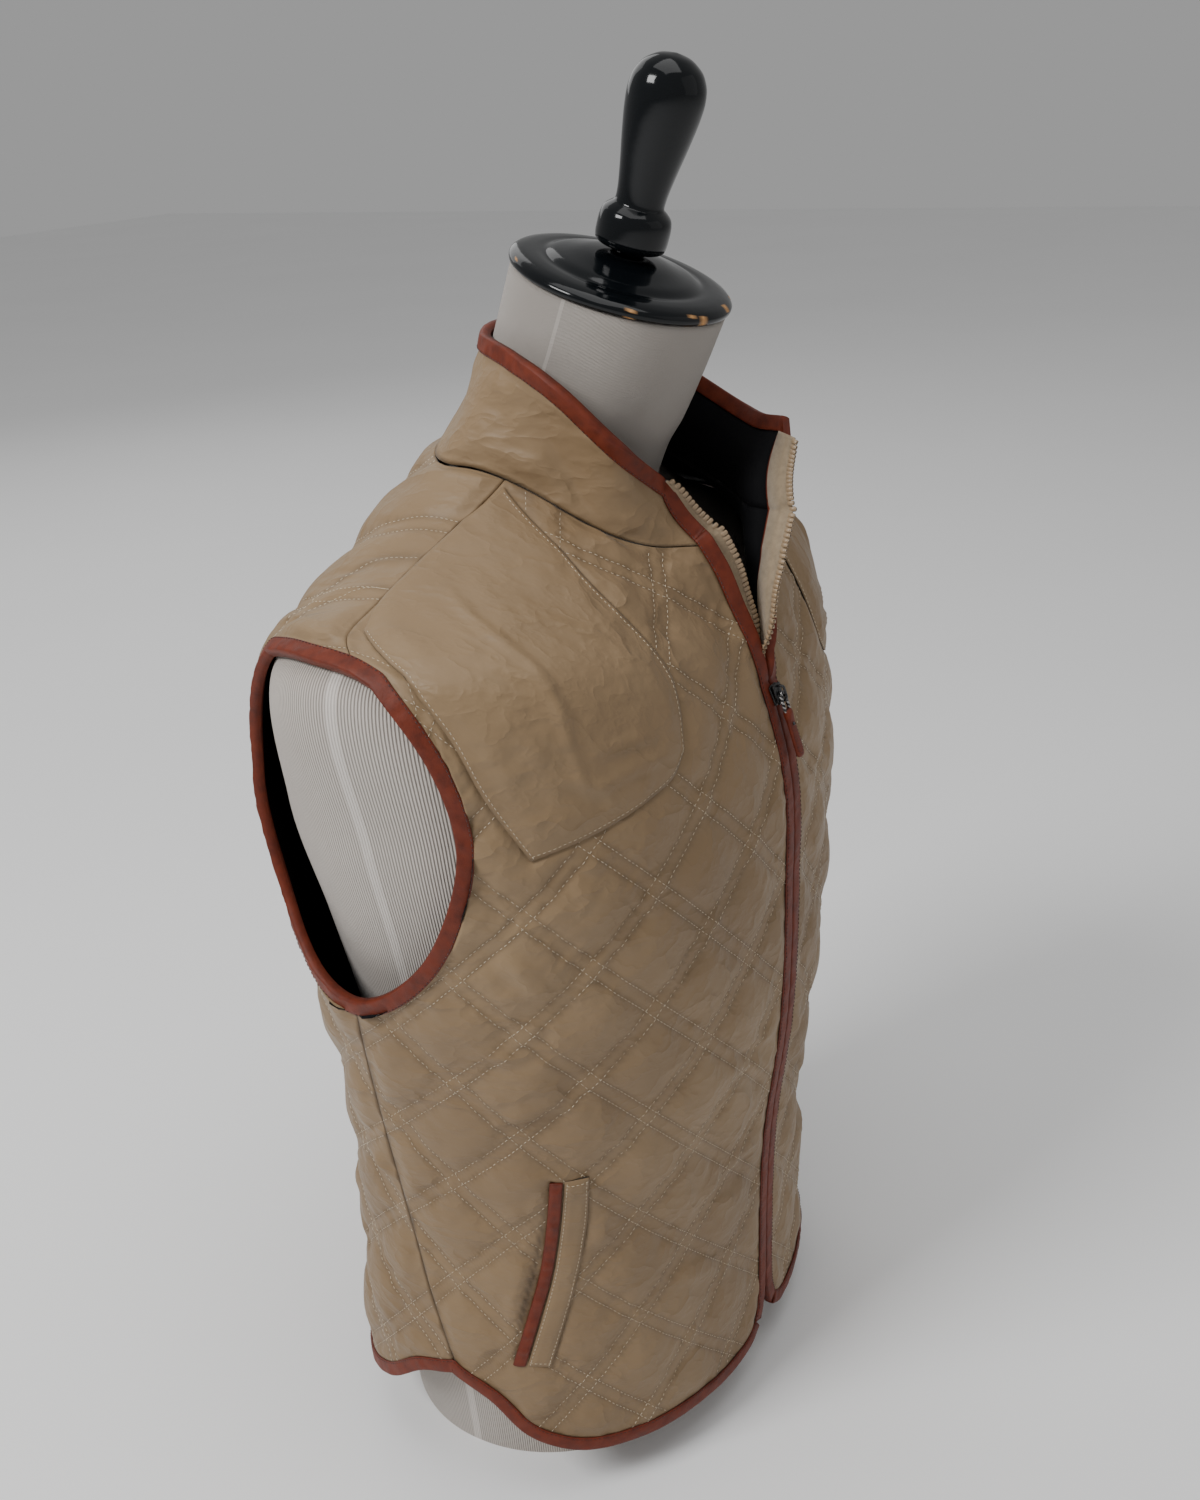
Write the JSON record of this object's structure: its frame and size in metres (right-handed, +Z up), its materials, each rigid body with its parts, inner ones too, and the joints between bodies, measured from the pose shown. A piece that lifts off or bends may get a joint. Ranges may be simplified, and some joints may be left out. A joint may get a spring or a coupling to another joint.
{
  "type": "quilted vest on a limbless dress form",
  "caption": "Sleeveless quilted zip vest with stand collar and leather edge bindings, worn by a limbless dress form with a lacquered neck cap and handle.",
  "frame": {"origin": "middle of the dress form's flat underside", "axes": "+Z up, -Y the way the vest's front faces, +X towards the wearer's left"},
  "size_m": [0.4334, 0.3324, 0.8774],
  "materials": {
    "shell": "matt tan woven shell, quilted, black inside",
    "leather": "satin brown leather",
    "zip_tape": "matt tan tape",
    "zip_metal": "black enamel",
    "form_cloth": "matt ribbed off-white jersey",
    "lacquer": "black gloss lacquer"
  },
  "bodies": {
    "vest": {"form_torso": "form_cloth", "neck_cap": "lacquer", "neck_handle": "lacquer", "front_right": "shell", "front_left": "shell", "back": "shell", "shoulder_patch_right": "shell", "shoulder_patch_left": "shell", "collar": "shell", "pocket_welt_right": "shell", "pocket_welt_left": "shell", "binding_armhole_right": "leather", "binding_armhole_left": "leather", "binding_front_right": "leather", "binding_front_left": "leather", "binding_hem": "leather", "binding_collar": "leather", "pocket_binding_right": "leather", "pocket_binding_left": "leather", "zip_tape_right": "zip_tape", "zip_tape_left": "zip_tape", "zip_slider": "zip_metal"},
    "pull": {"pull_link": "zip_metal", "pull_tab": "leather"}
  },
  "joints": [
    {"name": "pull_swing", "type": "hinge", "parent": "vest", "child": "pull", "pos_m": [0, -0.16309, 0.5254], "axis": [-1, 0, 0], "range_deg": [0, 110]}
  ]
}
